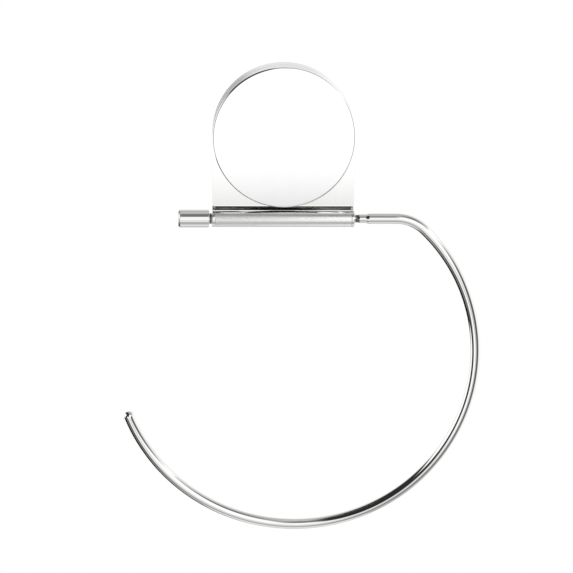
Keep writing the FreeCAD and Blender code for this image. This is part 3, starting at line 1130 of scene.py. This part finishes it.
# Softboxes and dark flags in the tent: brightness, width of the soft edge in degrees, and corners
# (azimuth, elevation); where two overlap, the later one covers the earlier one
TENT_PANELS = {
    "high_left_flag": (0.03, 7.5, ((-173, 11), (-149, 73), (-30, 90), (20, 50), (13, -7), (-76, -36))),
    "left_softbox": (1.22, 3.1, ((-153, 2), (-96, 30), (-64, 31), (-99, -30), (-145, -18))),
    "low_left_flag": (
        0.0, 2.0, ((-175, -15), (-139, -23), (-78, -28), (-74, -47), (-109, -66), (-160, -69))),
    "front_left_softbox": (1.18, 8.3, ((-37, 3), (0, -5), (7, -31), (-50, -23))),
    "front_left_flag": (0.0, 4.3, ((-59, -28), (-36, -33), (-28, -57), (-62, -47))),
    "high_right_flag": (0.02, 15.6, ((35, 76), (90, 67), (81, 32), (47, 37))),
    "right_softbox": (1.12, 10.0, ((60, 4), (100, 14), (169, 8), (178, -33), (111, -58), (66, -39))),
    "front_right_softbox": (1.30, 5.0, ((-4, 38), (26, 44), (53, 27), (39, -6), (10, -26), (4, -10))),
    "right_strip_light": (1.21, 1.8, ((51, 25), (86, 32), (121, 32), (119, 23), (84, 21), (50, 20))),
    "back_left_flag": (0.5, 3.0, ((-176, -10), (-176, 6), (-158, 6), (-158, -10))),
    "right_flag": (0.12, 4.9, ((12, -15), (35, 0), (69, 24), (77, 17), (53, -24), (13, -55))),
    "top_front_light": (0.20, 4.0, ((-8, 34), (11, 34), (11, 78), (-8, 78))),
    "front_panel": (1.12, 2.2, ((-4, 32), (8, 32), (8, -14.45), (-4, -14.45))),
    "low_front_flag": (0.5, 2.1, ((-5, -14.35), (9, -14.35), (9, -21), (-5, -21))),
}


def floor_material(settings):
    """Pale floor that keeps the shadow below the object and is white further out."""
    material, tree = material_tree("studio_floor")
    x, y = tree.separate(tree.node("ShaderNodeTexCoord").outputs["Object"])[:2]
    edge = FLOOR_EDGE * settings.floor_radius * MM
    away = (x * x + y * y).math("SQRT").step(0.0, edge)
    white_share = settings.floor_white + (1.0 - settings.floor_white) * away
    matt = tree.node("ShaderNodeBsdfDiffuse", {"Color": (*settings.floor_colour, 1.0)})
    white = tree.node("ShaderNodeEmission", {"Color": WHITE, "Strength": 1.0})
    mixed = tree.node("ShaderNodeMixShader", {0: tree.seen() * white_share, 1: matt, 2: white})
    tree.surface(mixed)
    return material


def direction(azimuth, elevation):
    """Unit vector from the object; azimuth 0 is towards the front, 90 to the right, elevation upwards."""
    a, e = math.radians(azimuth), math.radians(elevation)
    return Vector((math.sin(a) * math.cos(e), -math.cos(a) * math.cos(e), math.sin(e)))


def panel_share(tree, place, softness, corners):
    """1 where the tent is inside the corners, 0 outside, with an edge that is soft for so many degrees."""
    points = [direction(*corner) for corner in corners]
    middle = sum(points, Vector())
    edge = math.sin(math.radians(softness))
    share = 1.0
    for i, point in enumerate(points):
        normal = point.cross(points[(i + 1) % len(points)]).normalized()
        if normal.dot(middle) < 0:
            normal = -normal
        inside = tree.value(tree.vector("DOT_PRODUCT", place, normal)["Value"])
        share = inside.step(-edge, edge) * share
    return share


def tent_material():
    """Light tent with softboxes and dark flags; it lights and is mirrored, and isn't seen itself."""
    material, tree = material_tree("studio_tent")
    place = tree.vector("NORMALIZE", tree.node("ShaderNodeTexCoord").outputs["Object"])["Vector"]
    height = tree.separate(place)[2].math("ARCSINE") / math.pi + 0.5
    stops = [((elevation + 90) / 180, level) for elevation, level in TENT_LIGHT]
    ramp = tree.node("ShaderNodeValToRGB", {0: height}, stops=stops)
    light = tree.value(tree.node("ShaderNodeSeparateColor", {0: ramp}).outputs[0])
    for level, softness, corners in TENT_PANELS.values():
        light = light + (level - light) * panel_share(tree, place, softness, corners)
    camera_ray = tree.node("ShaderNodeLightPath").outputs["Is Camera Ray"]
    clear = tree.node("ShaderNodeBsdfTransparent")
    glow = tree.node("ShaderNodeEmission", {"Color": WHITE, "Strength": light})
    mixed = tree.node("ShaderNodeMixShader", {0: camera_ray, 1: glow, 2: clear})
    tree.surface(mixed)
    return material


def studio_world(strength):
    """Soft light from all round, behind which the camera sees plain white."""
    world = bpy.data.worlds.new("studio_world")
    world.use_nodes = True
    world.node_tree.nodes.clear()
    tree = Tree(world.node_tree)
    light = tree.node("ShaderNodeBackground", {"Color": WHITE, "Strength": strength})
    white = tree.node("ShaderNodeBackground", {"Color": WHITE, "Strength": 1.0})
    mixed = tree.node("ShaderNodeMixShader", {0: tree.seen(), 1: light, 2: white})
    tree.node("ShaderNodeOutputWorld", {"Surface": mixed})
    return world


def studio_camera():
    """The camera at the photo's angle."""
    lens = bpy.data.cameras.new("studio_camera")
    lens.lens = CAMERA_LENS
    lens.sensor_width = SENSOR_WIDTH
    camera = new_object("studio_camera", lens)
    back = direction(CAMERA_AZIMUTH, CAMERA_ELEVATION)
    right = Vector((0.0, 0.0, 1.0)).cross(back).normalized()
    level = Matrix((right, back.cross(right), back)).transposed()
    rolled = level @ Matrix.Rotation(math.radians(CAMERA_ROLL), 3, "Z")
    camera.matrix_world = Matrix.Translation(CAMERA_TARGET + back * CAMERA_DISTANCE) @ rolled.to_4x4()
    return camera


class TOWELRING_OT_stage(bpy.types.Operator):
    """Builds the studio: floor, light tent, world and camera."""
    bl_idname = "towel_ring.stage"
    bl_label = "Build Studio"

    def execute(self, context):
        settings = in_mm("studio")
        turns = [math.tau * k / FLOOR_SIDES for k in range(FLOOR_SIDES)]
        reach = settings.floor_radius
        rim = [(reach * math.cos(turn), reach * math.sin(turn), 0) for turn in turns]
        floor = new_piece("studio_floor", rim, [tuple(range(FLOOR_SIDES))], floor_material(settings))
        floor.location = (0.0, 0.0, -settings.floor_drop * MM)
        dome = bmesh.new()
        bmesh.ops.create_uvsphere(
            dome, u_segments=64, v_segments=32, radius=settings.tent_radius * MM)
        mesh = bpy.data.meshes.new("studio_tent")
        dome.to_mesh(mesh)
        dome.free()
        mesh.materials.append(tent_material())
        tent = new_object("studio_tent", mesh)
        context.scene.view_settings.view_transform = "Standard"
        context.scene.world = studio_world(settings.world_strength)
        context.scene.camera = studio_camera()
        return {"FINISHED"}


# Registration

GROUPS = {
    "cover": CoverSettings,
    "leaf": LeafSettings,
    "base": BaseSettings,
    "ring": RingSettings,
    "knob": KnobSettings,
    "screws": ScrewSettings,
    "metal": MetalSettings,
    "studio": StudioSettings,
}
STEPS = (
    TOWELRING_OT_cover,
    TOWELRING_OT_leaf,
    TOWELRING_OT_bushes,
    TOWELRING_OT_ring,
    TOWELRING_OT_knob,
    TOWELRING_OT_base,
    TOWELRING_OT_fasteners,
    TOWELRING_OT_plated,
    TOWELRING_OT_stage,
)


class TOWELRING_PT_panel(bpy.types.Panel):
    """Lists the towel ring's sizes, colours and build steps."""
    bl_idname = "TOWELRING_PT_panel"
    bl_label = "Towel Ring"
    bl_space_type = "VIEW_3D"
    bl_region_type = "UI"
    bl_category = "Towel Ring"

    def draw(self, context):
        for name in GROUPS:
            settings = getattr(context.scene, PREFIX + name)
            box = self.layout.box()
            for field in settings.__annotations__:
                box.prop(settings, field)
        for step in STEPS:
            self.layout.operator(step.bl_idname)


def register():
    for made in (*GROUPS.values(), *STEPS, TOWELRING_PT_panel):
        bpy.utils.register_class(made)
    for name, group in GROUPS.items():
        setattr(bpy.types.Scene, PREFIX + name, PointerProperty(type=group))


def unregister():
    for name in GROUPS:
        delattr(bpy.types.Scene, PREFIX + name)
    for made in reversed((*GROUPS.values(), *STEPS, TOWELRING_PT_panel)):
        bpy.utils.unregister_class(made)


def main():
    """Builds everything in order."""
    register()
    for step in STEPS:
        group, name = step.bl_idname.split(".")
        getattr(getattr(bpy.ops, group), name)()


if __name__ == "__main__":
    main()
